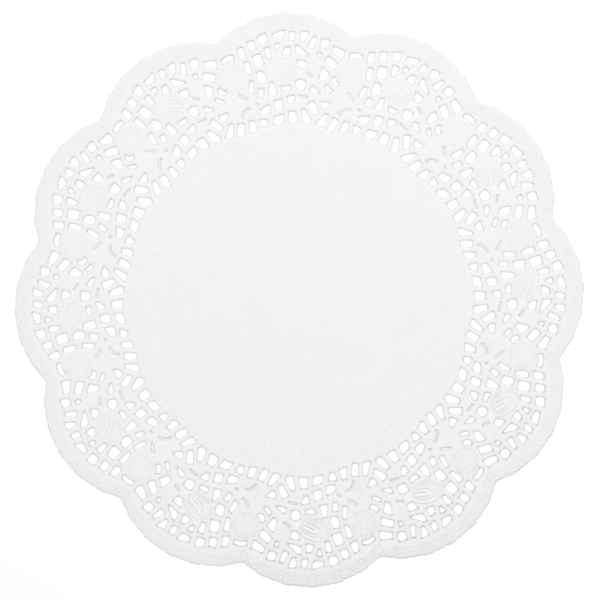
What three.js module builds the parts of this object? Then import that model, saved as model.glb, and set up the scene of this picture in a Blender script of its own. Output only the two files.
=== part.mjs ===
// Round paper doily with twelve scallops, lying flat: one die-cut sheet with its openwork band cut through.
// Millimetres, +Z up. The origin is the centre of the underside, and a scallop's crest points along +Y.

import * as THREE from 'three';

// Whole sheet
const REPEATS = 12;
const REPEAT_TURN = 2 * Math.PI / REPEATS;
const CREST_RADIUS = 150;
const NOTCH_RADIUS = 140.8;
const SHEET_THICKNESS = 1;

// Steps along the curved edges
const SCALLOP_STEPS = 14;
const BOW_STEPS = 4;

// The openwork of one repeat, in millimetres and degrees. A hole is a quadrilateral that stands at radius
// `r` and angle `a`, where 0 is the crest and positive angles run anticlockwise. It is `tall` from foot to
// top, `top` and `foot` wide, and turned by `turn` from the outward direction. Its top leans `lean` to the
// right, and `roof` is how much higher the top's left end is. `peak` raises the middle of the top to a
// corner, `elbow` pushes a corner out of the right side at the share `elbowAt` of its length from the foot,
// and `bow` bends the whole hole outward.
const HOLES = [
  // Rim row
  { r: 130.9, a: 13.3, tall: 2.4, top: 7.3, foot: 6.5, turn: 8, bow: 1.0 },
  { r: 132.3, a: 9.9, tall: 5.4, top: 3.0, foot: 4.0, turn: 18, lean: 1.2 },
  { r: 134.9, a: 7.3, tall: 5.0, top: 3.5, foot: 3.9, turn: 10 },
  { r: 137.4, a: 4.5, tall: 4.7, top: 5.0, foot: 4.4, turn: 10, lean: -0.3, roof: -0.6 },
  { r: 138.7, a: 1.1, tall: 3.6, top: 6.8, foot: 5.4, turn: -8, lean: 0.2, roof: -2.7 },
  { r: 134.7, a: -9.2, tall: 4.8, top: 4.7, foot: 4.4, turn: -14, lean: -0.2, roof: -1.0 },
  { r: 131.2, a: -12.5, tall: 3.8, top: 6.4, foot: 7.2, turn: -29, lean: -1.0, roof: -1.8 },
  // Second row
  { r: 126.7, a: 6.4, tall: 6.2, top: 4.4, foot: 5.1, turn: 10 },
  { r: 130.1, a: -0.7, tall: 4.3, top: 3.4, foot: 4.8, turn: -13, lean: -0.4, roof: -0.8 },
  { r: 130.5, a: -3.65, tall: 4.2, top: 1.9, foot: 8.0, turn: -14, lean: -4.4 },
  { r: 125.1, a: -11.2, tall: 3.9, top: 6.6, foot: 6.9, turn: -36, lean: -0.6, roof: -0.4 },
  // Round the rosebud
  { r: 117.8, a: 6.4, tall: 6.1, top: 3.2, foot: 3.8, turn: -1, lean: -0.7, elbow: 1.2 },
  { r: 123.0, a: -4.1, tall: 4.2, top: 5.7, foot: 2.7, lean: -0.4, roof: 0.9 },
  { r: 118.2, a: -9.7, tall: 5.4, top: 5.4, foot: 2.7, turn: -45, lean: -2.3, roof: -0.5 },
  { r: 111.4, a: 3.8, tall: 6.9, top: 1.6, foot: 5.0, turn: 7, lean: 0.9 },
  { r: 112.3, a: -4.0, tall: 4.5, top: 6.0, foot: 5.0, turn: -6, lean: -0.4, roof: -0.9, peak: 0.7 },
  // Round the leaves
  { r: 102.5, a: 2.4, tall: 5.0, top: 4.2, foot: 4.6, turn: 11, lean: 0.6 },
  { r: 100.4, a: 6.7, tall: 4.0, top: 5.4, foot: 5.1, turn: 3, lean: 0.3, roof: -2.1 },
  { r: 100.5, a: -8.0, tall: 7.1, top: 3.8, foot: 2.6, turn: 41, lean: 1.2, roof: 0.7 },
  // Innermost row
  { r: 94.7, a: 3.0, tall: 4.4, top: 5.3, foot: 5.5, turn: 4, lean: 1.5, roof: -0.6 },
  { r: 95.8, a: -1.5, tall: 6.0, top: 3.8, foot: 5.0, turn: -1, lean: -0.3 },
  { r: 96.1, a: -5.3, tall: 7.6, top: 2.3, foot: 3.3, lean: -2.0, roof: -0.5, elbow: 1.4, elbowAt: 0.28 },
  { r: 95.0, a: -11.1, tall: 7.1, top: 2.0, foot: 4.5, turn: -9, lean: 2.6 },
  { r: 93.5, a: 15.5, tall: 6.6, top: 3.7, foot: 3.3, turn: -20 },
  { r: 93.7, a: 11.6, tall: 5.5, top: 2.5, foot: 4.4, turn: 14, lean: 1.9, roof: 0.6 },
];

const COLOURS = { paper: 0xf2f2f0 };

const degrees = (angle) => angle * Math.PI / 180;

// A point of one repeat, turned to where that repeat stands on the sheet. Crests start at +Y.
function onRepeat(point, repeat) {
  return point.clone().rotateAround(new THREE.Vector2(), repeat * REPEAT_TURN);
}

// The distance from the sheet's centre at which a scallop's arc is centred, so that it passes through its
// crest and both its notches.
function scallopCentre() {
  const half = REPEAT_TURN / 2;
  const chordGap = CREST_RADIUS - NOTCH_RADIUS * Math.cos(half);
  return (CREST_RADIUS ** 2 - NOTCH_RADIUS ** 2) / (2 * chordGap);
}

// One scallop's arc about +Y, from its right notch to just before its left one.
function scallopArc() {
  const half = REPEAT_TURN / 2;
  const centre = scallopCentre();
  const radius = CREST_RADIUS - centre;
  const reach = Math.atan2(NOTCH_RADIUS * Math.sin(half), NOTCH_RADIUS * Math.cos(half) - centre);
  const points = [];
  for (let step = 0; step < SCALLOP_STEPS; step += 1) {
    const angle = -reach + 2 * reach * step / SCALLOP_STEPS;
    points.push(new THREE.Vector2(-radius * Math.sin(angle), centre + radius * Math.cos(angle)));
  }
  return points;
}

// A hole's outline in its own frame, with +Y along its outward side, anticlockwise from the top left corner.
function holeOutline({ tall, top, foot, lean = 0, roof = 0, peak = 0, elbow = 0, elbowAt = 0.5, bow = 0 }) {
  const topLeft = new THREE.Vector2((lean - top) / 2, (tall + roof) / 2);
  const topRight = new THREE.Vector2((lean + top) / 2, (tall - roof) / 2);
  const footRight = new THREE.Vector2((foot - lean) / 2, -tall / 2);
  const footLeft = new THREE.Vector2((-foot - lean) / 2, -tall / 2);
  if (bow) {
    return [...bentEdge(topLeft, topRight, bow).reverse(), ...bentEdge(footLeft, footRight, bow)];
  }
  const outline = [topLeft, footLeft, footRight];
  if (elbow) {
    const side = footRight.clone().lerp(topRight, elbowAt);
    outline.push(side.add(new THREE.Vector2(elbow, 0)));
  }
  outline.push(topRight);
  if (peak) {
    const middle = topRight.clone().lerp(topLeft, 0.5);
    outline.push(middle.add(new THREE.Vector2(0, peak)));
  }
  return outline;
}

// A straight edge bent to a parabola that rises by `bow` from its ends to its middle, about its own level.
function bentEdge(start, end, bow) {
  const points = [];
  for (let step = 0; step <= BOW_STEPS; step += 1) {
    const along = step / BOW_STEPS;
    const rise = bow * (4 * along * (1 - along) - 0.5);
    points.push(start.clone().lerp(end, along).add(new THREE.Vector2(0, rise)));
  }
  return points;
}

// The outline carried from its own frame to its place on one repeat.
function placedHole(hole, repeat) {
  const { r, a, turn = 0 } = hole;
  const place = new THREE.Vector2(0, r).rotateAround(new THREE.Vector2(), degrees(a));
  const outline = holeOutline(hole).map((point) => {
    const turned = point.rotateAround(new THREE.Vector2(), degrees(a + turn));
    return onRepeat(turned.add(place), repeat);
  });
  return new THREE.Path(outline);
}

function doilyShape() {
  const edge = [];
  const holes = [];
  for (let repeat = 0; repeat < REPEATS; repeat += 1) {
    edge.push(...scallopArc().map((point) => onRepeat(point, repeat)));
    holes.push(...HOLES.map((hole) => placedHole(hole, repeat)));
  }
  const shape = new THREE.Shape(edge);
  shape.holes = holes;
  return shape;
}

function doily() {
  const geometry = new THREE.ExtrudeGeometry(doilyShape(), { depth: SHEET_THICKNESS, bevelEnabled: false });
  const paper = new THREE.MeshStandardMaterial({ color: COLOURS.paper, roughness: 0.9, metalness: 0 });
  const mesh = new THREE.Mesh(geometry, paper);
  mesh.name = 'doily';
  return mesh;
}

const part = new THREE.Group();
part.add(doily());

export default part;
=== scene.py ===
# A round paper doily with twelve scallops, embossed and die-cut from one sheet, lying flat on a pale floor.
# Sizes are in millimetres and degrees, and the mesh is written in metres. Each repeat is drawn in a frame of
# its own, whose scallop has its crest on +Y; angle 0 is that crest and positive angles run anticlockwise.

import math
from collections import namedtuple

import bpy
import numpy as np
from mathutils import Matrix, Vector
from mathutils.geometry import delaunay_2d_cdt
from mathutils.kdtree import KDTree


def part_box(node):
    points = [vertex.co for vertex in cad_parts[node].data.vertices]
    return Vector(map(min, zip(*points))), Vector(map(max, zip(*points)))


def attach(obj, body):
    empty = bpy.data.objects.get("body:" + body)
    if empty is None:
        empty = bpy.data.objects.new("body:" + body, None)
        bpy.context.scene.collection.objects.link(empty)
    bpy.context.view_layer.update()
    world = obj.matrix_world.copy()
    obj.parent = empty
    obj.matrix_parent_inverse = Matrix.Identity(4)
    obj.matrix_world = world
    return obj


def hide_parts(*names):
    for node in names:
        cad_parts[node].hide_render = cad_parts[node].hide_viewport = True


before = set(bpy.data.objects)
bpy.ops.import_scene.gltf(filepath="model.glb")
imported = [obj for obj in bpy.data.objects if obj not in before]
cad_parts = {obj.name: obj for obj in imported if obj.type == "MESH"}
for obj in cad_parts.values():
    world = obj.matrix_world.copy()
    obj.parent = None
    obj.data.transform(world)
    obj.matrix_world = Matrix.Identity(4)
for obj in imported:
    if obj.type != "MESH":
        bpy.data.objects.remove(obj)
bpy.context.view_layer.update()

MM = 0.001

# Whole sheet. Many of the pairs here and below are soft steps, from their first number to their second.
REPEATS = 12
REPEAT_DEGREES = 360 / REPEATS
HALF_REPEAT = REPEAT_DEGREES / 2
CREST_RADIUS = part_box("doily")[1].y / MM
NOTCH_RADIUS = 140.8
SHEET_CENTRE = (0.0, 0.0)

# Scalloped edge, whose crests stand EDGE_TURN round from those of the repeats. Softening lifts its notches by
# NOTCH_RISE, and the paper ends EDGE_DRAWN_IN inside it.
EDGE_STEPS = 204
EDGE_TURN = -0.2
EDGE_NUDGE = 0.05
EDGE_DRAWN_IN = 0.1
NOTCH_SOFTNESS = 0.8
NOTCH_RISE = 0.55

# The edge swells at each rosette of the rim, and has a nick where a swell ends. BUMP_FALL and NICK_WIDTH are
# shares of a swell's half width.
BUMP_HALF_DEGREES = 1.15
BUMP_FALL = (0.8, 1.15)
BUMP_HEIGHT = 0.36
NICK_WIDTH = 0.2
NICK_DEPTH = 0.3

# Fine teeth along the edge, as many to a repeat as TEETH says. Their height changes in slower waves.
TEETH = 71
TOOTH_HEIGHT = 0.12
TOOTH_CHANGE = 0.4
TOOTH_WAVES = 5
TOOTH_WAVE_START = 1

# Section of the sheet from a cut line inward: distances from the line and heights above what it lies on
Section = namedtuple("Section", "step_in step_height shoulder_in shoulder_height")
HOLE_SECTION = Section(0.27, 0.36, 0.62, 0.66)
RIM_SECTION = Section(0.12, 0.42, 1.1, 0.68)
CROWN_HEIGHT = 0.13
CROWN_REACH = 0.55

# A cut line: its points, the direction into the paper and the painted shade at each, how far the shoulder
# stands from each, and the section
Outline = namedtuple("Outline", "points inland shade reach section")

# At the corners of the holes and along their outer sides the paper reaches further in and is pressed wider,
# and its colour gets painted shade for the shading at the cut edges, more so in the outer rows and in slits,
# with a share of it reaching the shoulder. A side is an outer one where the cosine between the outward
# direction and the one into the paper is past OUTER_COSINE. Slits are the holes under SLIT_WIDTH tall.
OUTER_COSINE = (0.3, 0.9)
OUTER_LIP = 0.03
OUTER_WIDER = 0.2
OUTER_PAINTED_SHADE = 0.08
CORNER_LIP = 0.17
CORNER_WIDER = 0.2
CORNER_PAINTED_SHADE = 0.12
OUTER_ROW_RADIUS = (118.0, 135.0)
OUTER_ROW_PAINTED_SHADE = 0.35
SLIT_WIDTH = 0.9
SLIT_PAINTED_SHADE = 0.07
SHOULDER_PAINTED_SHADE_SHARE = 0.2

# How far the pressed paper closes the holes from all sides, and how far round it carries them
HOLE_CLOSE = 0.1
HOLE_SHIFT = 0.035

# Painted light and shade: how much lighter or darker the paper's colour is made for each millimetre that it
# is raised or sunk, for the shading of the relief, and between which heights
PAINTED_SHADING_PER_MM = 0.37
PAINTED_SHADING_RANGE = (-0.7, 0.25)

# Steps along the holes. Rounding a corner takes up at most CORNER_SHARE of each side next to it, and its ends
# belong to the corner by CORNER_END. A corner that points inward is rounded to HOLLOW_RADIUS.
HOLE_STEP = 1.05
BOW_STEPS = 4
CORNER_STEPS = 2
CORNER_SHARE = 0.42
CORNER_END = 0.5
SLIGHT_BEND = 0.5
HOLLOW_RADIUS = 2.0

# Distances between the points of the top. A fill zone is the radius that it reaches to and its spacing, and
# its rings stand RING_SHARE of that apart.
FILL_ZONES = [(77.0, 2.3), (91.0, 1.15), (151.0, 1.12)]
RING_SHARE = 0.87
FILL_CLEARANCE = 0.45
POINT_GAP = 0.3
FINE_STEPS = 4
LEAST_DISTANCE = 1e-6

Hole = namedtuple("Hole", "r a tall top foot turn lean roof peak elbow elbow_at bow round",
                  defaults=(0, 0, 0, 0, 0, 0.5, 0, 0.55))

# The openwork of one repeat. A hole is a quadrilateral that stands at radius `r` and angle `a`. It is `tall`
# from foot to top, `top` and `foot` wide, and turned by `turn` from the outward direction. Its top leans
# `lean` to the right, and `roof` is how much higher the top's left end is. `peak` raises the middle of the
# top to a corner, `elbow` pushes a corner out of the right side at the share `elbow_at` of its length from
# the foot, `bow` bends the whole hole outward, and `round` is the radius of its corners.
HOLES = [
    # Rim row
    Hole(130.9, 13.3, 2.4, 7.3, 6.5, 8, bow=1.0),
    Hole(132.3, 9.9, 5.4, 3.0, 4.0, 18, 1.2),
    Hole(134.9, 7.3, 5.0, 3.5, 3.9, 10),
    Hole(137.4, 4.6, 4.7, 4.9, 4.2, 10, -0.3, -1.0),
    Hole(138.7, 1.15, 3.6, 6.8, 5.0, -8, 0.5, -2.7),
    Hole(137.8, -1.85, 4.4, 2.8, 3.4, 12, 1.6, 0.7),
    Hole(137.5, -4.4, 5.3, 4.7, 1.8, 4, 1.5),
    Hole(134.8, -6.5, 6.4, 1.8, 3.3, -26, -0.4, -0.5),
    Hole(134.7, -9.2, 4.8, 4.7, 4.2, -14, -0.2, -1.0, round=0.9),
    Hole(131.2, -12.5, 3.8, 6.4, 7.2, -29, -1.0, -1.8),
    # Second row
    Hole(123.6, 9.0, 7.2, 1.7, 2.8, 180, -0.8, 0.4, elbow=0.8),
    Hole(126.7, 6.4, 6.2, 4.4, 5.1, 10),
    Hole(129.9, 3.8, 5.7, 3.4, 2.0, 1, -0.4),
    Hole(132.5, 1.6, 3.6, 3.2, 0.9, -8),
    Hole(130.1, -0.6, 4.4, 2.4, 4.6, -13, 0, -0.8),
    Hole(130.5, -3.65, 4.2, 1.9, 8.0, -14, -4.4, round=0.4),
    Hole(128.3, -8.3, 2.8, 2.9, 1.2, -3, -0.3),
    Hole(125.1, -11.2, 3.9, 6.6, 6.9, -36, -0.6, -0.4),
    # Round the rosebud
    Hole(117.8, 6.4, 6.1, 3.2, 3.8, -1, -0.7, elbow=1.2),
    Hole(123.0, -4.1, 4.2, 5.7, 2.7, 0, -0.4, 0.9),
    Hole(117.8, -6.1, 0.45, 3.8, 3.4, -30),
    Hole(118.2, -9.7, 5.4, 5.4, 2.7, -45, -2.3, -0.5),
    Hole(115.7, -12.95, 2.4, 4.3, 5.0, -47, bow=-1.2),
    Hole(113.7, 9.3, 6.5, 2.0, 2.6, -25, -1.3, -0.4),
    Hole(109.8, 7.1, 4.6, 3.0, 2.4, -17, 0, -0.5),
    Hole(111.3, 3.85, 6.6, 1.6, 4.7, 7, 0.9),
    Hole(110.8, 0.1, 2.5, 5.6, 4.1, 9, -0.3, 0.8),
    Hole(112.3, -3.9, 4.3, 5.6, 4.0, -6, -0.4, -0.5, peak=0.8, round=0.8),
    Hole(110.2, -7.55, 2.8, 1.4, 6.3, -12, -2.9, -0.5, round=0.4),
    Hole(111.5, -11.5, 1.8, 4.8, 4.6, -41, bow=-0.2),
    # Round the leaves
    Hole(109.6, 12.1, 0.6, 4.8, 5.0, -41, bow=-0.2),
    Hole(104.3, 8.7, 0.5, 1.2, 1.2, -20),
    Hole(101.4, 12.75, 0.5, 6.4, 6.0, 40, bow=1.2),
    Hole(104.6, -1.0, 4.1, 4.7, 1.4, 10, 1.5, elbow=0.6),
    Hole(106.3, -4.75, 0.45, 4.7, 4.6, -10),
    Hole(102.5, 2.55, 5.0, 4.1, 4.4, 11, 0.6),
    Hole(100.3, 6.7, 4.0, 5.4, 5.1, 3, 0.3, -2.1),
    Hole(100.5, -7.88, 7.1, 3.8, 2.6, 41, 1.2, 0.7),
    Hole(102.6, -10.9, 3.7, 6.2, 1.5, -1, 0.8, round=0.4),
    # Innermost row
    Hole(94.7, 3.0, 4.4, 5.3, 5.5, 4, 1.5, -0.6),
    Hole(95.7, -1.5, 5.8, 3.5, 5.0, -1, -0.3),
    Hole(96.0, -5.3, 7.4, 2.3, 3.3, 0, -2.0, -0.5, elbow=1.4, elbow_at=0.28),
    Hole(95.0, -11.1, 7.1, 2.0, 4.5, -9, 2.6),
    Hole(93.5, 15.5, 6.6, 3.7, 3.3, -20),
    Hole(93.7, 11.6, 5.5, 2.5, 4.4, 14, 1.9, 0.6),
    Hole(93.9, 7.8, 4.1, 4.5, 2.1, 7, 0.8, 1.3),
]

Stroke = namedtuple("Stroke", "x0 y0 x1 y1 bow deep", defaults=(0, 0))

# Grooves of the rosebud. A stroke runs from (x0, y0) to (x1, y1), bulges by `bow` to its left and is `deep`.
# At its ends it keeps GROOVE_ENDS of its width and depth.
BUD_STROKES = [Stroke(*row) for row in [
    # Petals that sweep to the right
    (-4.3, 126.9, 6.5, 120.4, 1.85, 0.23),
    (-3.6, 124.5, 5.6, 119.0, 1.45, 0.25),
    (-2.8, 122.9, 4.8, 118.5, 0.8, 0.28),
    (-2.3, 120.8, 4.0, 117.5, -0.15, 0.29),
    (-3.4, 119.6, 1.8, 116.8, -0.55, 0.25),
    (-4.1, 118.8, -3.0, 117.1, -0.1, 0.09),
    # Rolled heart on the left
    (-6.4, 126.7, -4.7, 119.8, 1.2, 0.16),
    (-8.9, 123.9, -6.7, 125.6, 0.5, 0.14),
    (-6.7, 125.6, -5.5, 121.1, 0.45, 0.14),
    (-9.1, 122.6, -7.2, 123.7, 0.25, 0.11),
    (-7.2, 123.7, -6.4, 121.7, 0.3, 0.11),
    (-8.4, 121.9, -7.7, 122.7, 0.0, 0.11),
    (-10.2, 122.3, -8.3, 119.8, -0.6, 0.15),
    (-9.4, 121.9, -8.2, 120.9, -0.3, 0.11),
    # Calyx and lower petals
    (-7.9, 119.2, -5.8, 119.4, 0.5, 0.07),
    (-9.0, 118.2, -4.2, 118.3, 0.2, 0.07),
    (-7.1, 116.8, -4.7, 116.8, -0.25, 0.17),
    (-4.6, 116.8, -1.4, 116.7, -0.45, 0.17),
    (-6.0, 115.4, 0.7, 116.2, -0.8, 0.17),
    (-1.0, 114.0, 5.8, 118.4, -0.45, 0.15),
    (1.3, 114.1, 5.3, 117.2, -0.4, 0.15),
    # Outline over the top
    (6.9, 119.8, -1.0, 127.7, 1.8, 0.07),
    (-10.3, 123.9, -6.4, 126.8, 0.5, 0.09),
]]
BUD_MIDRIB = Stroke(-3.0, 124.0, 4.0, 119.5)
BUD_HALF_WIDTH = 4.5
BUD_DOME = 0.08
GROOVE_WIDTH = 0.75
GROOVE_ENDS = 0.7
STROKE_STEP = 0.6
LEAST_STROKE_STEPS = 3
SHOULDER_SHARE = 0.8

Leaf = namedtuple("Leaf", "x0 y0 x1 y1 bow wide veins")

# Leaves between the holes, each from its stem end (x0, y0) to its tip (x1, y1), `wide` across. LEAF_SIDE is
# in shares of the half width, and LEAF_SWELL and LEAF_ROUND are the powers that shape it.
LEAVES = [
    Leaf(13.4, 118.6, 15.7, 129.2, 0.5, 5.0, 9),
    Leaf(1.4, 100.8, 11.2, 103.4, -0.3, 4.0, 9),
    Leaf(-14.9, 97.0, -20.6, 102.2, 0.3, 3.9, 7),
    Leaf(-26.2, 96.6, -27.6, 106.2, 0.4, 4.6, 9),
    Leaf(-24.6, 109.4, -21.3, 118.4, -0.4, 2.6, 8),
    Leaf(-34.4, 106.8, -26.6, 109.6, -0.5, 2.8, 7),
]
LEAF_DOME = 0.04
LEAF_SWELL = 0.8
LEAF_ROUND = 0.7
LEAF_SIDE = (0.8, 1.1)
LEAF_LEAST_HALF = 0.2
LEAF_VEIN = 0.09
LEAF_VEIN_START = (0.2, 0.7)
LEAF_MIDRIB = 0.08
LEAF_MIDRIB_WIDTH = 0.4
LEAF_ROW_STEP = 0.55
LEAF_MARGIN = 0.3

# Round ornaments: a disc is `high` out to its `edge`, with `ticks` radial grooves, `deep` between `start` and
# `end`. A ring stands up by its height. Rings of points are given by their radius and how many they have.
Disc = namedtuple("Disc", "high edge ticks deep start end")
Ring = namedtuple("Ring", "radius width height")

# Open rose, whose ticks are a frill round its petals. The petals are hatched with fine grooves: along the
# direction `hatch`, or round the rose's centre where that is None. A petal reaches `half` degrees to each
# side of its middle direction.
Petal = namedtuple("Petal", "middle half hatch")
ROSE_CENTRE = (-28.3, 118.0)
ROSE = Disc(high=0.04, edge=(6.8, 7.8), ticks=42, deep=0.16, start=(5.3, 5.9), end=(6.8, 7.4))
ROSE_RINGS = [(5.7, 84), (6.35, 84), (7.0, 84), (7.8, 48)]
PETALS = [
    Petal(15, 45, None),
    Petal(75, 15, 80),
    Petal(120, 30, None),
    Petal(172, 22, 5),
    Petal(220, 26, -45),
    Petal(272, 26, -30),
    Petal(314, 16, 45),
]
PETAL_RADIUS = 5.3
PETAL_SIDE = (0.0, 0.4)
PETAL_END = (5.0, 5.4)
PETAL_LEAST_SHARE = 0.2
HATCH_PITCH = 1.0
HATCH_DEPTH = 0.11
HATCH_STEP = 0.62

# Small rosettes on the rim: some to each side of the crest, and one in each notch. Each has a ringed button
# in its middle.
ROSETTE_INSET = 4.1
ROSETTE_STEP = 5.43
ROSETTES_EACH_SIDE = 2
ROSETTE = Disc(high=0.01, edge=(2.5, 3.2), ticks=22, deep=0.11, start=(1.5, 2.0), end=(2.5, 3.2))
ROSETTE_RINGS = [(1.8, 44), (2.35, 44), (2.9, 44), (0.75, 12), (1.3, 12), (0.0, 1)]
BUTTON = Ring(radius=0.75, width=0.35, height=-0.055)

# Net between the rosettes, in distances from the edge and from a rosette's centre. It has NET_RAYS threads
# to a radian across the rim, weaker ones than those along it.
NET_START = (0.9, 1.4)
NET_END = (6.3, 6.8)
NET_CLEARANCE = (2.9, 3.5)
NET_PITCH = 0.95
NET_RAYS = 960
NET_RAY_WEIGHT = 0.5

# Ornament at the border of the plain middle. Its two lines are given by their radii in the middle of a repeat
# and at the cusp between two, and BORDER_ROWS are the rows of points along them: offsets and spacing.
BORDER_TURN = -0.7
FINE_LINE = (83.45, 80.15)
FINE_LINE_WIDTH = 0.6
FINE_LINE_HEIGHT = 0.08
LINEN_EDGE = (90.05, 87.5)
LINEN_FADE = (-0.3, 0.3)
LINEN_SINK = 0.02
BORDER_ROWS = [(FINE_LINE, (-0.45, 0, 0.45), 0.5), (LINEN_EDGE, (-0.4, 0.4), 0.6)]

# Drops under the fine line and half rings on it. DROP_SIDE is in shares of a drop's half width, DROP_TAPER is
# the power that shapes its point, and DROP_GRID has the points over it, across it and inward from its top.
DROP_ANGLES = [-15.3, -9.5, -3.4, 2.2, 7.8]
DROP_GAP = 1.3
DROP_LENGTH = 5.2
DROP_HALF_WIDTH = 1.9
DROP_TAPER = 0.8
DROP_SIDE = (0.45, 1.05)
DROP_LEAST_HALF = 0.05
DROP_HEIGHT = 0.045
DROP_GRID = np.mgrid[-1.8:1.9:0.6, -0.3:5.1:0.6].reshape(2, -1)
LOOP_ANGLES = [-13.8, -8.2, -1.9, 3.8, 9.5]
LOOP = Ring(radius=1.9, width=0.275, height=0.06)
LOOP_RADII = (LOOP.radius - 0.4, LOOP.radius, LOOP.radius + 0.4)
LOOP_POINT_ANGLES = np.arange(10, 175, 20)

# A side of the sheet, `half` degrees to each side of its middle direction. What is true of it is fully so out
# to the share `core` of that, and fades from there.
Side = namedtuple("Side", "middle half core")

# The rim settles on what the doily lies on, all but one side that stays lifted
SETTLED_SHARE = 0.55
SETTLED_RADIUS = (128.0, 146.0)
LIFTED_SIDE = Side(-72.0, 62.0, 0.3)

# On one side the buds are pressed deeper by PRESS_GAIN, and the fine pattern by FINE_SHARE of that. The rim
# is spared RIM_EASE of it, and EDGE_SHARE of it goes into the painted shade at the cut edges, so that side
# also gets stronger painted light and shade in the paper's colour. The top stays LEAST_HEIGHT or more above
# the underside.
PRESS_GAIN = 1.2
PRESS_SIDE = Side(-71.0, 88.0, 0.25)
PRESS_RADIUS = (60.0, 90.0)
RIM_EASE = 0.65
RIM_RADIUS = (137.0, 141.0)
FINE_SHARE = 0.5
EDGE_SHARE = 0.7
LEAST_HEIGHT = 0.12

# Painted shade: one stretch of the rim's colour is made a little darker than the rest
PAINTED_RIM_SHADE = 0.035
PAINTED_RIM_SHADE_SIDE = Side(-88.0, 42.0, 0.2)

# Slow unevenness of the whole sheet
Wave = namedtuple("Wave", "length direction phase height")
UNEVENNESS = [Wave(83, 20, 0.4, 0.05), Wave(61, 110, 2.0, 0.04), Wave(47, 65, 4.1, 0.03),
              Wave(38, 155, 1.2, 0.02)]

# Colour and gloss of the paper. A noise's scale counts its features to a metre.
Noise = namedtuple("Noise", "scale detail")
PAPER_COLOUR = (0.872, 0.873, 0.855)
PAPER_ROUGHNESS = (0.78, 0.95)
PAPER_SPECULAR = 0.25
MOTTLE = Noise(60.0, 4.0)
MOTTLE_SHARES = (0.985, 1.015)

# Fine relief of the paper, as weights of a bump whose unit is BUMP_UNIT. The linen grain is threads in two
# directions, stronger and weaker in patches. The rim's wrinkles fade over WRINKLE_INSET from the edge.
Threads = namedtuple("Threads", "direction period")
WARP = Threads(59, 1.12)
WEFT = Threads(131, 1.3)
WEFT_WEIGHT = 0.2
THREAD_WANDER = {"Distortion": 0.35, "Detail": 1.0, "Detail Scale": 0.6}
PATCHES = Noise(110.0, 2.0)
PATCH_RANGE = (0.35, 0.65)
PATCH_STRENGTH = (0.4, 1.0)
FIBRES = Noise(1400.0, 3.0)
WRINKLES = Noise(900.0, 1.0)
WRINKLE_INSET = (8.5, 6.5)
WEAVE_WEIGHT = 0.9
NET_WEIGHT = 0.5
WRINKLE_WEIGHT = 5.5
BUMP_UNIT = 0.075

# A wave texture's bands are this many radians for each unit of its scale and of the place
WAVE_RADIANS = 20
UNIT = (0.0, 1.0)
WHITE = (1, 1, 1, 1)

# Floor and light, in metres. The light is aimed at the origin.
FLOOR_LOOK = {"Base Color": (0.95, 0.95, 0.95, 1), "Roughness": 0.9, "Specular IOR Level": 0.1,
              "Emission Color": WHITE, "Emission Strength": 0.06}
FLOOR_HALF = 15.0
FLOOR_DROP = 0.00005
WORLD_STRENGTH = 0.651
KEY_PLACE = (0.2, 0.67, 1.55)
KEY_SIZE = 0.5
KEY_WATTS = 12.2

# The camera looks at the doily from nearly straight above. CAMERA_TILT is its lean from straight down,
# CAMERA_FROM the direction that it leans to and CAMERA_UP the direction that is up in the picture. Places and
# distances are in metres, and it sees as far as VIEW_DEPTH times its distance.
CAMERA_DISTANCE = 5.585
CAMERA_TILT = 8.65
CAMERA_FROM = 15.4
CAMERA_UP = 86.8
CAMERA_TARGET = (0.0011, 0.00008, 0.0008)
VIEW_WIDTH = 0.31318
VIEW_DEPTH = 4
SENSOR_WIDTH = 36.0


# Plane geometry

def pairs(x, y):
    return np.stack([x, y], axis=1)


def turned(points, degrees):
    """Points turned anticlockwise about the origin."""
    angle = math.radians(degrees)
    cosine, sine = math.cos(angle), math.sin(angle)
    x, y = points.T
    return pairs(x * cosine - y * sine, x * sine + y * cosine)


def polar(radius, degrees):
    """Points of one repeat at a radius and an angle from the crest."""
    angle = np.radians(degrees)
    return pairs(-radius * np.sin(angle), radius * np.cos(angle))


def leftward(directions):
    """Directions turned a quarter to the left."""
    return pairs(-directions[:, 1], directions[:, 0])


def crest_angle(x, y):
    """Angle of points from the crest of their repeat, in degrees."""
    return np.degrees(np.arctan2(-x, y))


def degrees_away(x, y, middle):
    """How far round the origin points lie from a direction."""
    return np.abs((np.degrees(np.arctan2(y, x)) - middle + 180) % 360 - 180)


def folded(degrees, centre=0.0):
    """Angles brought into the repeat that is centred on `centre`, as angles from there."""
    return (degrees - centre + HALF_REPEAT) % REPEAT_DEGREES - HALF_REPEAT


def own_wedge(points):
    """Points brought into the first repeat's wedge."""
    x, y = points.T
    return polar(np.hypot(x, y), folded(crest_angle(x, y)))


def smooth(low, high, value):
    """A soft step from 0 at `low` to 1 at `high`."""
    share = np.clip((value - low) / (high - low), 0, 1)
    return share * share * (3 - 2 * share)


def band(start, end, value):
    """1 between two soft steps and 0 outside them."""
    return smooth(*start, value) * (1 - smooth(*end, value))


def bell(distance, width):
    """1 where a distance is 0, falling off to both sides."""
    return np.exp(-(distance / width) ** 2)


def all_round(points):
    """The points of one repeat in all twelve places."""
    return np.concatenate([turned(points, repeat * REPEAT_DEGREES) for repeat in range(REPEATS)])


def three_places(points):
    """The points of one repeat in the place before, its own and the one after."""
    return [turned(points, side * REPEAT_DEGREES) for side in (-1, 0, 1)]


# Edge of the sheet

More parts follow.
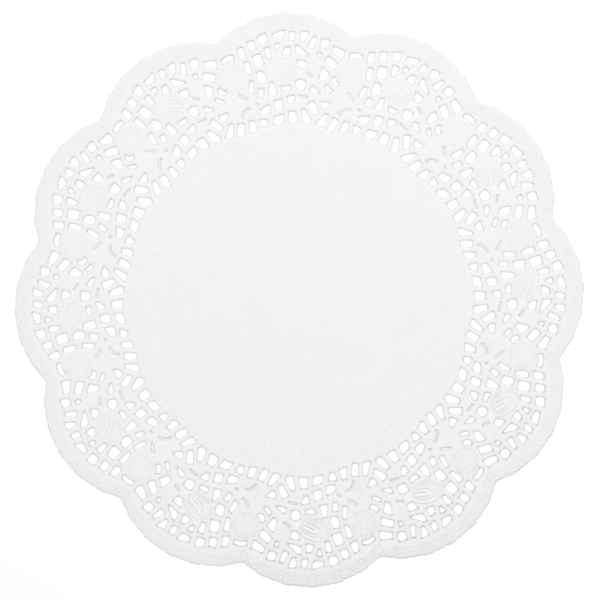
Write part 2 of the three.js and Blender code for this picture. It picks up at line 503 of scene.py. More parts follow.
def edge_radius(degrees):
    """Radius of the scalloped edge without its fine detail. Its arcs meet in softly rounded notches."""
    half = math.radians(HALF_REPEAT)
    notch = NOTCH_RADIUS - NOTCH_RISE
    centre = (CREST_RADIUS ** 2 - notch ** 2) / (2 * (CREST_RADIUS - notch * math.cos(half)))
    arc = CREST_RADIUS - centre
    own = folded(degrees, EDGE_TURN)
    reach = []
    for side in (-REPEAT_DEGREES, 0, REPEAT_DEGREES):
        angle = np.radians(own - side)
        inside = np.maximum(arc ** 2 - (centre * np.sin(angle)) ** 2, 0)
        reach.append(centre * np.cos(angle) + np.sqrt(inside))
    soft = NOTCH_SOFTNESS * np.log(sum(np.exp((r - CREST_RADIUS) / NOTCH_SOFTNESS) for r in reach))
    return CREST_RADIUS + soft


def edge_inset(x, y):
    """How far inside the sheet's edge points lie."""
    return edge_radius(crest_angle(x, y)) - np.hypot(x, y)


def tooth(degrees):
    """The fine uneven teeth that the die leaves along the edge."""
    turn = np.radians(REPEATS * degrees)
    change = 1 - TOOTH_CHANGE + TOOTH_CHANGE * np.cos(TOOTH_WAVES * turn + TOOTH_WAVE_START)
    return TOOTH_HEIGHT * np.cos(TEETH * turn) * change


def edge_bump(degrees):
    """How far the edge swells out at the rim's rosettes, less its nicks."""
    own = folded(degrees, EDGE_TURN)
    nearest = np.clip(np.round(own / ROSETTE_STEP), -ROSETTES_EACH_SIDE, ROSETTES_EACH_SIDE)
    share = np.abs(own - nearest * ROSETTE_STEP) / BUMP_HALF_DEGREES
    return BUMP_HEIGHT * (1 - smooth(*BUMP_FALL, share)) - NICK_DEPTH * bell(share - BUMP_FALL[1], NICK_WIDTH)


def rim_outline():
    """The cut line of one repeat's edge. Its inland direction is that of the smooth edge."""
    degrees = EDGE_TURN - HALF_REPEAT + REPEAT_DEGREES * np.arange(EDGE_STEPS) / EDGE_STEPS
    behind, ahead = degrees - EDGE_NUDGE, degrees + EDGE_NUDGE
    along = polar(edge_radius(ahead), ahead) - polar(edge_radius(behind), behind)
    along /= np.linalg.norm(along, axis=1)[:, None]
    inland = leftward(along)
    detail = tooth(degrees) + edge_bump(degrees)
    points = polar(edge_radius(degrees), degrees) - (detail - EDGE_DRAWN_IN)[:, None] * inland
    return Outline(points, inland, np.zeros(EDGE_STEPS), RIM_SECTION.shoulder_in + detail, RIM_SECTION)


# Holes

def bent_edge(start, end, bow):
    """A straight edge bent to a parabola that rises by `bow` from its ends to its middle."""
    along = np.linspace(0, 1, BOW_STEPS + 1)[:, None]
    points = start * (1 - along) + end * along
    points[:, 1] += bow * (4 * along[:, 0] * (1 - along[:, 0]) - 0.5)
    return points


def hole_corners(hole):
    """A hole's corners in its own frame, with +Y along its outward side, anticlockwise."""
    top_left = np.array([(hole.lean - hole.top) / 2, (hole.tall + hole.roof) / 2])
    top_right = np.array([(hole.lean + hole.top) / 2, (hole.tall - hole.roof) / 2])
    foot_right = np.array([(hole.foot - hole.lean) / 2, -hole.tall / 2])
    foot_left = np.array([(-hole.foot - hole.lean) / 2, -hole.tall / 2])
    if hole.bow:
        return np.vstack([bent_edge(top_left, top_right, hole.bow)[::-1],
                          bent_edge(foot_left, foot_right, hole.bow)])
    corners = [top_left, foot_left, foot_right]
    if hole.elbow:
        corners.append(foot_right + (top_right - foot_right) * hole.elbow_at + [hole.elbow, 0])
    corners.append(top_right)
    if hole.peak:
        corners.append((top_left + top_right) / 2 + [0, hole.peak])
    return np.array(corners)


def drawn_in(corners, distance):
    """The corners of an outline whose sides all stand `distance` further in."""
    sides = np.roll(corners, -1, axis=0) - corners
    sides = sides / np.linalg.norm(sides, axis=1)[:, None]
    inward = leftward(sides)
    before = np.roll(inward, 1, axis=0)
    shared = 1 + np.sum(inward * before, axis=1)
    return corners + distance * (inward + before) / shared[:, None]


def bends_between(before, after):
    """How far each direction is turned to the left of the one before it, in radians."""
    across = before[:, 0] * after[:, 1] - before[:, 1] * after[:, 0]
    return np.arctan2(across, np.sum(before * after, axis=1))


def rounded(corners, radius):
    """The outline through the corners with each one rounded, and at each point the outward direction and
    how much it belongs to a corner."""
    sides = np.roll(corners, -1, axis=0) - corners
    lengths = np.linalg.norm(sides, axis=1)
    sides = sides / lengths[:, None]
    outward = -leftward(sides)
    bends = bends_between(np.roll(sides, 1, axis=0), sides)
    radii = np.where(bends > 0, radius, HOLLOW_RADIUS)
    shorter = np.minimum(lengths, np.roll(lengths, 1))
    cuts = np.minimum(radii * np.abs(np.tan(bends / 2)), CORNER_SHARE * shorter)
    found = []
    for index, corner in enumerate(corners):
        start, end = corner - sides[index - 1] * cuts[index], corner + sides[index] * cuts[index]
        steps = CORNER_STEPS if bends[index] > SLIGHT_BEND else 1
        for share in np.linspace(0, 1, steps + 1):
            point = start * (1 - share) ** 2 + corner * 2 * share * (1 - share) + end * share ** 2
            normal = outward[index - 1] * (1 - share) + outward[index] * share
            belongs = CORNER_END + (1 - CORNER_END) * 4 * share * (1 - share)
            belongs *= np.clip(bends[index], 0, 1)
            found.append([*point, *(normal / np.linalg.norm(normal)), belongs])
        straight = lengths[index] - cuts[index] - cuts[(index + 1) % len(corners)]
        count = max(1, round(straight / HOLE_STEP))
        for step in range(1, count):
            found.append([*(end + sides[index] * straight * step / count), *outward[index], 0])
    found = np.array(found)
    return found[:, :2], found[:, 2:4], found[:, 4]


def hole_outline(hole):
    points, inland, bend = rounded(drawn_in(hole_corners(hole), HOLE_CLOSE), hole.round)
    place = polar(np.array([hole.r]), np.array([hole.a + HOLE_SHIFT]))
    points = turned(points, hole.a + hole.turn) + place
    inland = turned(inland, hole.a + hole.turn)
    outer = smooth(*OUTER_COSINE, np.sum(inland * points, axis=1) / np.linalg.norm(points, axis=1))
    # Painted shade along the cut edge: even in slits, elsewhere at the corners and outer sides and more in
    # the outer rows
    if hole.tall < SLIT_WIDTH:
        shade, lip = np.full(len(points), SLIT_PAINTED_SHADE), np.full(len(points), -HOLE_CLOSE)
    else:
        row = 1 + OUTER_ROW_PAINTED_SHADE * smooth(*OUTER_ROW_RADIUS, hole.r)
        shade = row * (OUTER_PAINTED_SHADE * outer + CORNER_PAINTED_SHADE * bend)
        lip = OUTER_LIP * outer + CORNER_LIP * bend
    reach = HOLE_SECTION.shoulder_in + lip + OUTER_WIDER * outer + CORNER_WIDER * bend
    return Outline(points - lip[:, None] * inland, inland, shade, reach, HOLE_SECTION)


def stepped(outline):
    return outline.points + outline.section.step_in * outline.inland


def shouldered(outline):
    return outline.points + outline.reach[:, None] * outline.inland


def inside_loop(points, loop):
    """Which points lie inside a closed loop."""
    x, y = points.T
    inside = np.zeros(len(points), bool)
    for (x0, y0), (x1, y1) in zip(loop, np.roll(loop, -1, axis=0)):
        crosses = (y0 > y) != (y1 > y)
        if y0 != y1:
            inside ^= crosses & (x < (x1 - x0) * (y - y0) / (y1 - y0) + x0)
    return inside


# Relief of one repeat. A relief function takes the places of points and gives their height over the plain
# sheet, and the points functions give the points that carry it.

def chord(stroke):
    """The straight line between a stroke's ends, and its length."""
    dx, dy = stroke.x1 - stroke.x0, stroke.y1 - stroke.y0
    return dx, dy, math.hypot(dx, dy)


def bulge(stroke, share):
    """How far a stroke's line stands to the left of its chord, and its slope against it."""
    return 4 * stroke.bow * share * (1 - share), 4 * stroke.bow * (1 - 2 * share) / chord(stroke)[2]


def on_stroke(stroke, share, aside):
    """Points at a share along a stroke, `aside` to the left of its line."""
    dx, dy, length = chord(stroke)
    off = bulge(stroke, share)[0] + aside
    return pairs(stroke.x0 + dx * share - dy / length * off, stroke.y0 + dy * share + dx / length * off)


def stroke_place(stroke, x, y):
    """How far along a stroke points lie, from 0 to 1, how far from its line and how far beyond its ends."""
    dx, dy, length = chord(stroke)
    along = ((x - stroke.x0) * dx + (y - stroke.y0) * dy) / length ** 2
    aside = ((y - stroke.y0) * dx - (x - stroke.x0) * dy) / length
    share = np.clip(along, 0, 1)
    off, slope = bulge(stroke, share)
    return share, (aside - off) / np.sqrt(1 + slope ** 2), (along - share) * length


def groove_depth(stroke, x, y):
    share, distance, beyond = stroke_place(stroke, x, y)
    taper = GROOVE_ENDS + (1 - GROOVE_ENDS) * np.sqrt(4 * share * (1 - share))
    return stroke.deep * taper * bell(np.hypot(distance, beyond), GROOVE_WIDTH * taper / 2)


def bud_relief(x, y):
    """The domed bud and its grooves. Where two grooves meet, the deeper one counts."""
    _, distance, beyond = stroke_place(BUD_MIDRIB, x, y)
    dome = BUD_DOME * bell(np.hypot(distance, beyond), BUD_HALF_WIDTH)
    return dome - np.max([groove_depth(stroke, x, y) for stroke in BUD_STROKES], axis=0)


def stroke_points(stroke):
    """Points along a groove's line and on both its shoulders."""
    length = chord(stroke)[2]
    count = max(LEAST_STROKE_STEPS, round((length + 2 * abs(stroke.bow)) / STROKE_STEP))
    share = np.linspace(0, 1, count + 1)
    between = (share[1:] + share[:-1]) / 2
    shoulder = SHOULDER_SHARE * GROOVE_WIDTH * np.sqrt(1 + bulge(stroke, between)[1] ** 2)
    return np.vstack([on_stroke(stroke, share, 0), on_stroke(stroke, between, -shoulder),
                      on_stroke(stroke, between, shoulder)])


def leaf_place(leaf, x, y):
    """Where points lie along a leaf's midrib, as for a stroke, and the leaf's half width there."""
    share, distance, beyond = stroke_place(leaf, x, y)
    half = leaf.wide / 2 * np.sin(np.pi * share ** LEAF_SWELL) ** LEAF_ROUND
    return share, distance, beyond, half


def leaf_relief(leaf, x, y):
    share, distance, beyond, half = leaf_place(leaf, x, y)
    aside = np.abs(distance)
    inside = 1 - smooth(*LEAF_SIDE, aside / np.maximum(half, LEAF_LEAST_HALF))
    phase = leaf.veins * (share - aside / chord(leaf)[2])
    veins = LEAF_VEIN * np.cos(2 * np.pi * phase) * smooth(*LEAF_VEIN_START, aside)
    midrib = LEAF_MIDRIB * bell(distance, LEAF_MIDRIB_WIDTH)
    return inside * (beyond == 0) * (LEAF_DOME - veins - midrib)


def leaf_points(leaf):
    """Rows of points along a leaf's veins and between them."""
    half, count = leaf.wide / 2, 2 * leaf.veins
    found = []
    for aside in np.arange(-half, half, LEAF_ROW_STEP):
        share = np.arange(count + 1) / count + abs(aside) / chord(leaf)[2]
        points = on_stroke(leaf, share[share < 1], aside)
        _, distance, _, half_there = leaf_place(leaf, *points.T)
        found.append(points[np.abs(distance) < half_there + LEAF_MARGIN])
    return np.vstack(found)


def disc_relief(disc, x, y):
    """Height of a round ornament at points taken from its centre."""
    radius, angle = np.hypot(x, y), np.arctan2(y, x)
    ticks = disc.deep * band(disc.start, disc.end, radius) * np.cos(disc.ticks * angle)
    return disc.high * (1 - smooth(*disc.edge, radius)) - ticks


def ring_relief(ring, x, y):
    return ring.height * bell(np.hypot(x, y) - ring.radius, ring.width)


def ring_points(centre, rings):
    """Points on rings about a centre."""
    found = []
    for radius, count in rings:
        angle = 2 * np.pi * np.arange(count) / count
        found.append(pairs(radius * np.cos(angle), radius * np.sin(angle)))
    return np.vstack(found) + centre


def petal_share(petal, x, y):
    """How much points, taken from the rose's centre, belong to a petal."""
    radius = np.hypot(x, y)
    side = np.radians(petal.half - degrees_away(x, y, petal.middle)) * radius
    return smooth(*PETAL_SIDE, side) * (1 - smooth(*PETAL_END, radius))


def across_hatch(petal, x, y):
    """How far points lie across a petal's hatching."""
    if petal.hatch is None:
        return np.hypot(x, y)
    angle = math.radians(petal.hatch)
    return y * math.cos(angle) - x * math.sin(angle)


def rose_relief(x, y):
    x, y = x - ROSE_CENTRE[0], y - ROSE_CENTRE[1]
    height = disc_relief(ROSE, x, y)
    for petal in PETALS:
        wave = np.cos(2 * np.pi * across_hatch(petal, x, y) / HATCH_PITCH)
        height = height - HATCH_DEPTH * wave * petal_share(petal, x, y)
    return height


def petal_points(petal):
    """Points on a petal's grooves and on the ridges between them."""
    rows = math.ceil(2 * PETAL_RADIUS / HATCH_PITCH)
    across = np.arange(-rows, rows + 1) * HATCH_PITCH / 2
    if petal.hatch is None:
        rings = [(radius, round(2 * np.pi * radius / HATCH_STEP)) for radius in across[across > 0]]
        points = ring_points(SHEET_CENTRE, rings)
    else:
        x, y = np.meshgrid(np.arange(-PETAL_RADIUS, PETAL_RADIUS, HATCH_STEP), across)
        points = turned(pairs(x.ravel(), y.ravel()), petal.hatch)
    return points[petal_share(petal, *points.T) > PETAL_LEAST_SHARE] + ROSE_CENTRE


def rose_points():
    petals = [petal_points(petal) for petal in PETALS]
    return np.vstack([ring_points(ROSE_CENTRE, ROSE_RINGS), *petals])


def rosette_centres():
    """The rosettes of one repeat's rim, and last the one in its other notch, which is the neighbour's."""
    steps = ROSETTE_STEP * np.arange(-ROSETTES_EACH_SIDE, ROSETTES_EACH_SIDE + 1)
    angles = EDGE_TURN + np.append(steps, [HALF_REPEAT, -HALF_REPEAT])
    return polar(edge_radius(angles) + edge_bump(angles) - ROSETTE_INSET, angles)


def rosette_relief(x, y):
    height = np.zeros_like(x)
    for centre in rosette_centres()[:-1]:
        dx, dy = x - centre[0], y - centre[1]
        height += disc_relief(ROSETTE, dx, dy) + ring_relief(BUTTON, dx, dy)
    return height


def rosette_points():
    return np.vstack([ring_points(centre, ROSETTE_RINGS) for centre in rosette_centres()[:-1]])


def net_share(points):
    """How much points belong to the net that fills the rim between and round its rosettes."""
    share = band(NET_START, NET_END, edge_inset(*points.T))
    own = own_wedge(points)
    for centre in rosette_centres():
        share = share * smooth(*NET_CLEARANCE, np.hypot(*(own - centre).T))
    return share


def border_radius(line, degrees):
    """Radius, at some angles, of a line of shallow arcs with their cusps between the repeats."""
    crest, cusp = line
    return crest - (crest - cusp) * (folded(degrees, BORDER_TURN) / HALF_REPEAT) ** 2


def beyond_line(line, x, y):
    return np.hypot(x, y) - border_radius(line, crest_angle(x, y))


def linen_share(x, y):
    """How much points belong to the plain middle with its linen grain."""
    return 1 - smooth(*LINEN_FADE, beyond_line(LINEN_EDGE, x, y))


def drop_top(degrees):
    return border_radius(FINE_LINE, degrees) - DROP_GAP


def drop_relief(degrees, x, y):
    """A raised drop that hangs inward from under the fine line, pointed at its inner end."""
    across, out = turned(pairs(x, y), -degrees).T
    down = drop_top(degrees) - out
    bulb = np.sqrt(np.clip(DROP_HALF_WIDTH ** 2 - (down - DROP_HALF_WIDTH) ** 2, 0, None))
    left = np.clip((DROP_LENGTH - down) / (DROP_LENGTH - DROP_HALF_WIDTH), 0, 1)
    half = np.where(down < DROP_HALF_WIDTH, bulb, DROP_HALF_WIDTH * left ** DROP_TAPER) * (down > 0)
    share = np.abs(across) / np.maximum(half, DROP_LEAST_HALF)
    return DROP_HEIGHT * (1 - smooth(*DROP_SIDE, share)) * (half > DROP_LEAST_HALF)


def loop_relief(degrees, x, y):
    """A small raised half ring that stands outward on the fine line."""
    across, out = turned(pairs(x, y), -degrees).T
    rise = out - border_radius(FINE_LINE, degrees)
    return ring_relief(LOOP, across, rise) * (rise > 0)


def border_relief(x, y):
    """The fine line, and the middle with its linen grain, which lies a little lower."""
    line = FINE_LINE_HEIGHT * bell(beyond_line(FINE_LINE, x, y), FINE_LINE_WIDTH / 2)
    return line - LINEN_SINK * linen_share(x, y)


def border_points():
    """Points along the fine line and the linen's edge, over the drops and on the half rings."""
    found = []
    for line, offsets, step in BORDER_ROWS:
        degrees = np.arange(-HALF_REPEAT, HALF_REPEAT - step / 2, step)
        found += [polar(border_radius(line, degrees) + offset, degrees) for offset in offsets]
    for degrees in DROP_ANGLES:
        across, down = DROP_GRID
        found.append(turned(pairs(across, drop_top(degrees) - down), degrees))
    for degrees in LOOP_ANGLES:
        foot = border_radius(FINE_LINE, degrees)
        angle = np.radians(LOOP_POINT_ANGLES)
        for radius in LOOP_RADII:
            found.append(turned(pairs(radius * np.cos(angle), foot + radius * np.sin(angle)), degrees))
    return np.vstack(found)


def repeat_relief(x, y):
    """The fine pattern that is pressed into one repeat and belongs to it alone."""
    height = rose_relief(x, y) + rosette_relief(x, y)
    for leaf in LEAVES:
        height = height + leaf_relief(leaf, x, y)
    for degrees in DROP_ANGLES:
        height = height + drop_relief(degrees, x, y)
    for degrees in LOOP_ANGLES:
        height = height + loop_relief(degrees, x, y)
    return height


def with_neighbours(points, relief):
    """Height that a relief gives at points of one repeat, with its neighbours' parts that reach in."""
    return sum(relief(*near.T) for near in three_places(points))


def fine_relief(points):
    return border_relief(*points.T) + with_neighbours(points, repeat_relief)


def feature_points():
    """The points that carry the pressed pattern of one repeat."""
    strokes = [stroke_points(stroke) for stroke in BUD_STROKES]
    leaves = [leaf_points(leaf) for leaf in LEAVES]
    return np.vstack([*strokes, *leaves, rose_points(), rosette_points(), border_points()])


# Points of the top

def fill_points():
    """Points on rings about the centre, spaced as their zone says, for one repeat."""
    rings = []
    radius = FILL_ZONES[0][1]
    while radius < CREST_RADIUS:
        step = next(step for limit, step in FILL_ZONES if radius < limit)
        count = max(1, round(radius * math.radians(REPEAT_DEGREES) / step))
        stagger = len(rings) % 2 / 2
        degrees = -HALF_REPEAT + REPEAT_DEGREES * (np.arange(count) + stagger) / count
        rings.append(polar(np.full(count, radius), degrees))
        radius += step * RING_SHARE
    return np.vstack(rings)


def tree_of(points):
    tree = KDTree(len(points))
    for index, (x, y) in enumerate(points):
        tree.insert((x, y, 0), index)
    tree.balance()
    return tree


def distances(tree, points):
    return np.array([tree.find((x, y, 0))[2] for x, y in points])


def thinned(points, gap):
    """The points in order, without those closer than `gap` to one already kept, also in a neighbour."""
    cells, kept = {}, []
    for x, y in points:
        column, line = int(x // gap), int(y // gap)
        near = [other for across in (-1, 0, 1) for up in (-1, 0, 1)
                for other in cells.get((column + across, line + up), ())]
        if all((other_x - x) ** 2 + (other_y - y) ** 2 > gap * gap for other_x, other_y in near):
            kept.append((x, y))
            for spot_x, spot_y in np.vstack(three_places(np.array([[x, y]]))):
                cells.setdefault((int(spot_x // gap), int(spot_y // gap)), []).append((spot_x, spot_y))
    return np.array(kept)


def finely(loop):
    """A closed loop with each of its sides divided in FINE_STEPS."""
    ahead = np.roll(loop, -1, axis=0)
    return np.vstack([loop + (ahead - loop) * (step / FINE_STEPS) for step in range(FINE_STEPS)])


def cut_edges(rim, holes):
    """Points close together along the shoulders of the holes in a repeat and near it, and of the rim."""
    rows = np.vstack([finely(shouldered(hole)) for hole in holes])
    return np.vstack([*three_places(rows), finely(all_round(shouldered(rim)))])


def open_points(points, rim, holes, clearance):
    """The points that lie on paper, `clearance` or more from every cut line's shoulder."""
    keep = inside_loop(points, all_round(shouldered(rim)))
    for loop in [loop for hole in holes for loop in three_places(shouldered(hole))]:
        near = np.all((points > loop.min(axis=0)) & (points < loop.max(axis=0)), axis=1)
        index = np.flatnonzero(keep & near)
        keep[index[inside_loop(points[index], loop)]] = False
    points = points[keep]
    return points[distances(tree_of(cut_edges(rim, holes)), points) > clearance]


def inner_points(rim, holes):
    """The points of one repeat's top between the cut lines' shoulders."""
    features = open_points(thinned(own_wedge(feature_points()), POINT_GAP), rim, holes, POINT_GAP)
    fill = open_points(fill_points(), rim, holes, FILL_CLEARANCE)
    near = tree_of(np.vstack(three_places(features)))
    return np.vstack([features, fill[distances(near, fill) > FILL_CLEARANCE]])


# Heights and painted shading all over the sheet

def unevenness(points):
    x, y = points.T
    height = np.zeros(len(points))
    for wave in UNEVENNESS:
        angle = math.radians(wave.direction)
        along = x * math.cos(angle) + y * math.sin(angle)
        height += wave.height * (1 + np.sin(2 * np.pi * along / wave.length + wave.phase))
    return height


def side_share(side, points):
    return 1 - smooth(side.core, 1.0, degrees_away(*points.T, side.middle) / side.half)


def height_share(points):
    """How much of its height the sheet keeps where its rim settles."""
    settled = smooth(*SETTLED_RADIUS, np.hypot(*points.T)) * (1 - side_share(LIFTED_SIDE, points))
    return 1 - SETTLED_SHARE * settled


def press_share(points):
    """How deep the pattern is pressed, as a share of its charted depth."""
    radius = np.hypot(*points.T)
    deeper = smooth(*PRESS_RADIUS, radius) * (1 - RIM_EASE * smooth(*RIM_RADIUS, radius))
    return 1 + PRESS_GAIN * deeper * side_share(PRESS_SIDE, points)


def relief_painted_shading(heights):
    """Painted light on raised paper and painted shade on sunk paper, for the shading of the relief."""
    return 1 + PAINTED_SHADING_PER_MM * np.clip(heights, *PAINTED_SHADING_RANGE)


def rim_painted_shading(points):
    """How much painted shade darkens the rim's colour, as a share of the rest: more along one stretch."""
    return 1 - smooth(*RIM_RADIUS, np.hypot(*points.T)) * PAINTED_RIM_SHADE * side_share(PAINTED_RIM_SHADE_SIDE, points)


# Mesh of the sheet

def closed_edges(start, count):
    return [(start + index, start + (index + 1) % count) for index in range(count)]


def strip(first, second, count, flip):
    """Faces between two closed rows of points, the second to the left of the first, or to its right if
    flipped."""
    faces = []
    for index in range(count):
        ahead = (index + 1) % count
        face = (first + index, first + ahead, second + ahead, second + index)
        faces.append(face[::-1] if flip else face)
    return faces


def off_paper(points, triangles, loops):
    """Which triangles lie outside the first loop or inside another. They join points of one loop alone."""
    loop_of = np.full(len(points), -1)
    for number, (start, count) in enumerate(loops):
        loop_of[start:start + count] = number
    owners = loop_of[triangles]
    same = (owners[:, 0] == owners[:, 1]) & (owners[:, 1] == owners[:, 2])
    centres = points[triangles].mean(axis=1)
    off = np.zeros(len(triangles), bool)
    for number, (start, count) in enumerate(loops):
        index = np.flatnonzero(same & (owners[:, 0] == number))
        within = inside_loop(centres[index], points[start:start + count])
        off[index] = within if number else ~within
    return off


def triangulated(points, loops):
    """Triangles over points, bounded by the first loop and clear of the others. Loops are (start, count)."""
    edges = [edge for start, count in loops for edge in closed_edges(start, count)]
    found = delaunay_2d_cdt([Vector(point) for point in points], edges, [], 0, LEAST_DISTANCE)
    if len(found[0]) != len(points):
        raise RuntimeError("cut edges cross each other")
    order = np.array([originals[0] for originals in found[3]])
    triangles = order[np.array(found[2])]
    return triangles[~off_paper(points, triangles, loops)]


def row_points(rim, holes, place):
    """A row of points along every cut line: the rim's, then those of the holes of each repeat."""
    rows = [all_round(place(rim))]
    for repeat in range(REPEATS):
        rows += [turned(place(hole), repeat * REPEAT_DEGREES) for hole in holes]
    return rows


def row_values(rim, holes, value):
    """A number for each point of such a row."""
    return np.concatenate([np.tile(value(rim), REPEATS), *([value(hole) for hole in holes] * REPEATS)])


def section_heights(rim, holes, name):
    """One of the section's heights for each point of such a row."""
    return row_values(rim, holes, lambda cut: np.full_like(cut.reach, getattr(cut.section, name)))


def everywhere(values, centre):
    """Numbers for the points of one repeat, given to all repeats and followed by the sheet's centre."""
    return np.append(np.tile(values, REPEATS), centre)


def pressed_heights(own, inner):
    """How far the pattern raises or sinks the inner points, of which `own` are those of one repeat."""
    deeper = press_share(inner) - 1
    buds = everywhere(with_neighbours(own, bud_relief), 0)
    fine = everywhere(fine_relief(own), -LINEN_SINK)
    return buds * (1 + deeper) + fine * (1 + FINE_SHARE * deeper)


def sheet_faces(loops, shoulder, inner, line):
    """The faces of the top with the cut edges, and those of the underside. The rows of points follow each
    other as shoulder, inner, line and step."""
    line_start = len(shoulder) + len(inner)
    step_start = line_start + len(line)
    top = triangulated(np.vstack([shoulder, inner]), loops).tolist()
    for number, (start, count) in enumerate(loops):
        top += strip(step_start + start, start, count, number > 0)
        top += strip(line_start + start, step_start + start, count, number > 0)
    under = (line_start + triangulated(line, loops)[:, ::-1]).tolist()
    return top, under


def add_object(name, data):
    made = bpy.data.objects.new(name, data)
    bpy.context.scene.collection.objects.link(made)
    return made


def store(mesh, name, values, domain="POINT"):
    """Stores numbers on a mesh for its material to read."""
    attribute = mesh.attributes.new(name, "FLOAT", domain)
    attribute.data.foreach_set("value", values.astype(np.float32))


def store_painted_shading(mesh, painted_shading, top_count):
    """Stores the painted light and shade at each face corner. The underside has none."""
    corners = np.zeros(len(mesh.loops), np.int32)
    mesh.loops.foreach_get("vertex_index", corners)
    values = painted_shading[corners]
    values[mesh.polygons[top_count].loop_start:] = 1
    store(mesh, "painted_shading", values, "CORNER")


def build_sheet():
    """The whole sheet as one closed mesh: a pressed top, stepped cut edges and a plain underside."""
    rim, holes = rim_outline(), [hole_outline(hole) for hole in HOLES]
    line_rows = row_points(rim, holes, lambda cut: cut.points)
    counts = [len(row) for row in line_rows]
    loops = [(sum(counts[:number]), count) for number, count in enumerate(counts)]
    line = np.vstack(line_rows)
    step = np.vstack(row_points(rim, holes, stepped))
    shoulder = np.vstack(row_points(rim, holes, shouldered))
    own = inner_points(rim, holes)
    inner = np.vstack([all_round(own), SHEET_CENTRE])
    top, under = sheet_faces(loops, shoulder, inner, line)

    pressed = pressed_heights(own, inner)
    crown = 1 - np.exp(-distances(tree_of(cut_edges(rim, holes)), own) / CROWN_REACH)
    inner_height = HOLE_SECTION.shoulder_height + CROWN_HEIGHT * everywhere(crown, 1) + pressed
    height = np.concatenate([section_heights(rim, holes, "shoulder_height"),
                             np.maximum(inner_height, LEAST_HEIGHT),
                             np.zeros(len(line)),
                             section_heights(rim, holes, "step_height")])
    places = np.vstack([shoulder, inner, line, step])
    lift = unevenness(places) * (height > 0)
    # Painted shade at the cut edges, made stronger on the side where the pattern is pressed deeper
    shade = row_values(rim, holes, lambda cut: cut.shade)
    shade = shade * (1 + EDGE_SHARE * (press_share(line) - 1))
    # Painted light and shade for the paper's colour: at the cut edges, over the relief and along one stretch
    # of the rim
    painted_shading = np.concatenate([1 - SHOULDER_PAINTED_SHADE_SHARE * shade, relief_painted_shading(pressed) * rim_painted_shading(inner),
                           1 - shade, 1 - shade])

    mesh = bpy.data.meshes.new("doily_paper")
    points = np.column_stack([places, (height + lift) * height_share(places)]) * MM
    mesh.from_pydata(points.tolist(), [], top + under)
    mesh.polygons.foreach_set("use_smooth", [True] * len(top) + [False] * len(under))
    store(mesh, "linen", linen_share(*places.T))
    store(mesh, "net", net_share(places))
    store(mesh, "inset", edge_inset(*places.T))
    store_painted_shading(mesh, painted_shading, len(top))
    mesh.update()
    return add_object("doily_paper", mesh)


# Materials

def new_material(name):
    material = bpy.data.materials.new(name)
    material.use_nodes = True
    tree = material.node_tree
    return material, tree, tree.nodes["Principled BSDF"]


def feed(tree, made, inputs):
    """Sets a node's inputs to values or links them to other nodes' outputs."""
    for name, value in inputs.items():
        if isinstance(value, bpy.types.NodeSocket):
            tree.links.new(value, made.inputs[name])
        else:
            made.inputs[name].default_value = value


def node(tree, kind, inputs=None, **settings):
    made = tree.nodes.new(kind)
    for name, value in settings.items():
        setattr(made, name, value)
    feed(tree, made, inputs or {})
    return made


def maths(tree, operation, *values):
    return node(tree, "ShaderNodeMath", dict(enumerate(values)), operation=operation).outputs[0]


def multiplied(tree, first, second):
    return maths(tree, "MULTIPLY", first, second)


def added(tree, first, second):
    return maths(tree, "ADD", first, second)


def sine(tree, value, rate):
    return maths(tree, "SINE", multiplied(tree, value, rate))


def stored(tree, name):
    return node(tree, "ShaderNodeAttribute", attribute_name=name).outputs["Fac"]


def noise(tree, position, kind):
    inputs = {"Vector": position, "Scale": kind.scale, "Detail": kind.detail}
    return node(tree, "ShaderNodeTexNoise", inputs).outputs["Fac"]


def ranged(tree, value, source=UNIT, target=UNIT):
    limits = {"From Min": source[0], "From Max": source[1], "To Min": target[0], "To Max": target[1]}
    return node(tree, "ShaderNodeMapRange", {"Value": value, **limits}).outputs["Result"]


def thread_wave(tree, position, threads):
    """Even parallel threads across a direction."""
    turn = (0, 0, -math.radians(threads.direction))
    place = node(tree, "ShaderNodeMapping", {"Vector": position, "Rotation": turn}).outputs["Vector"]
    scale = 2 * math.pi / (WAVE_RADIANS * threads.period * MM)
    inputs = {"Vector": place, "Scale": scale, **THREAD_WANDER}
    return node(tree, "ShaderNodeTexWave", inputs).outputs["Fac"]


def linen_weave(tree, position):
    warp, weft = thread_wave(tree, position, WARP), thread_wave(tree, position, WEFT)
    strength = ranged(tree, noise(tree, position, PATCHES), PATCH_RANGE, PATCH_STRENGTH)
    weave = multiplied(tree, added(tree, warp, multiplied(tree, weft, WEFT_WEIGHT)), strength)
    return multiplied(tree, weave, stored(tree, "linen"))


def net_wave(tree, position):
    """Fine threads along the rim and across it, where the net is."""
    place = node(tree, "ShaderNodeSeparateXYZ", {"Vector": position}).outputs
    along = sine(tree, stored(tree, "inset"), 2 * math.pi / NET_PITCH)
    across = sine(tree, maths(tree, "ARCTAN2", place["Y"], place["X"]), NET_RAYS)
    threads = added(tree, along, multiplied(tree, across, NET_RAY_WEIGHT))
    return multiplied(tree, threads, stored(tree, "net"))


def rim_wrinkles(tree, position):
    rim = ranged(tree, stored(tree, "inset"), WRINKLE_INSET)
    return multiplied(tree, noise(tree, position, WRINKLES), rim)


def paper_bump(tree, position, fibres):
    """The paper's fine relief: fibres all over, linen grain in the middle, and the rim's net and wrinkles."""
    height = fibres
    layers = [(linen_weave, WEAVE_WEIGHT), (net_wave, NET_WEIGHT), (rim_wrinkles, WRINKLE_WEIGHT)]
    for layer, weight in layers:
        height = added(tree, height, multiplied(tree, layer(tree, position), weight))
    inputs = {"Height": height, "Strength": 1.0, "Distance": BUMP_UNIT * MM}
    return node(tree, "ShaderNodeBump", inputs).outputs["Normal"]


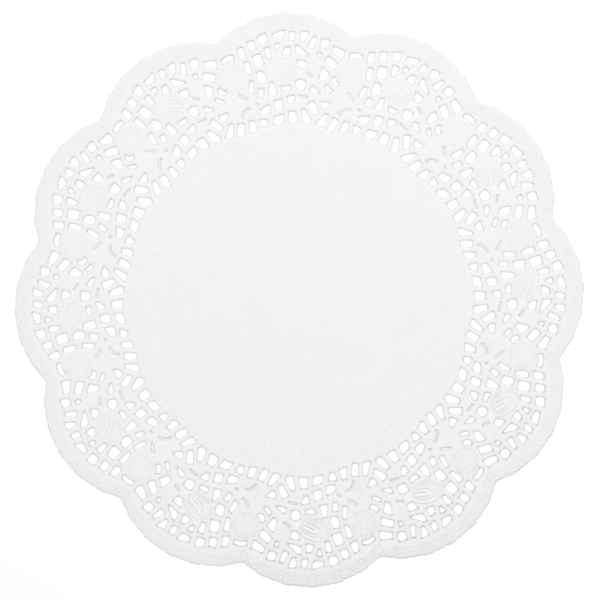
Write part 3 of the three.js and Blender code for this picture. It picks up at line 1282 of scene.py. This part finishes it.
def paper_colour(tree, position):
    """Faintly mottled paper, with the painted light and shade that the mesh carries."""
    darker, lighter = [(*(share * part for part in PAPER_COLOUR), 1) for share in MOTTLE_SHARES]
    inputs = {"Factor": noise(tree, position, MOTTLE), "A": darker, "B": lighter}
    mottled = node(tree, "ShaderNodeMix", inputs, data_type="RGBA").outputs["Result"]
    inputs = {0: mottled, "Scale": stored(tree, "painted_shading")}
    return node(tree, "ShaderNodeVectorMath", inputs, operation="SCALE").outputs["Vector"]


def paper_material():
    material, tree, shader = new_material("paper")
    position = node(tree, "ShaderNodeTexCoord").outputs["Object"]
    fibres = noise(tree, position, FIBRES)
    feed(tree, shader, {"Normal": paper_bump(tree, position, fibres),
                        "Base Color": paper_colour(tree, position),
                        "Roughness": ranged(tree, fibres, target=PAPER_ROUGHNESS),
                        "Specular IOR Level": PAPER_SPECULAR})
    return material


def floor_material():
    material, tree, shader = new_material("floor")
    feed(tree, shader, FLOOR_LOOK)
    return material


# Floor, light and camera

def make_floor():
    mesh = bpy.data.meshes.new("floor")
    corners = [(-1, -1), (1, -1), (1, 1), (-1, 1)]
    mesh.from_pydata([(x * FLOOR_HALF, y * FLOOR_HALF, -FLOOR_DROP) for x, y in corners], [], [range(4)])
    mesh.materials.append(floor_material())
    add_object("floor", mesh)


def make_world():
    world = bpy.data.worlds.new("studio")
    world.use_nodes = True
    tree = world.node_tree
    feed(tree, tree.nodes["Background"], {"Color": WHITE, "Strength": WORLD_STRENGTH})
    bpy.context.scene.world = world


def make_key():
    light = bpy.data.lights.new("key", "AREA")
    light.shape = "DISK"
    light.size = KEY_SIZE
    light.energy = KEY_WATTS
    key = add_object("key", light)
    key.location = KEY_PLACE
    key.rotation_euler = (-Vector(KEY_PLACE)).to_track_quat("-Z", "Y").to_euler()
    key.visible_camera = False


def make_camera():
    tilt, azimuth, up = (math.radians(angle) for angle in (CAMERA_TILT, CAMERA_FROM, CAMERA_UP))
    back = Vector((math.sin(tilt) * math.cos(azimuth), math.sin(tilt) * math.sin(azimuth), math.cos(tilt)))
    right = Vector((math.cos(up), math.sin(up), 0)).cross(back).normalized()
    upward = back.cross(right)
    lens = bpy.data.cameras.new("camera")
    lens.sensor_width = SENSOR_WIDTH
    lens.lens = SENSOR_WIDTH * CAMERA_DISTANCE / VIEW_WIDTH
    lens.clip_end = VIEW_DEPTH * CAMERA_DISTANCE
    camera = add_object("camera", lens)
    camera.rotation_mode = "QUATERNION"
    camera.rotation_quaternion = Matrix((right, upward, back)).transposed().to_quaternion()
    camera.location = Vector(CAMERA_TARGET) + back * CAMERA_DISTANCE
    bpy.context.scene.camera = camera


# The scene


make_camera()
make_world()
make_key()
make_floor()
bpy.context.scene.view_settings.view_transform = "Standard"

doily = build_sheet()
doily.data.materials.append(paper_material())
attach(doily, "root")
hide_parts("doily")
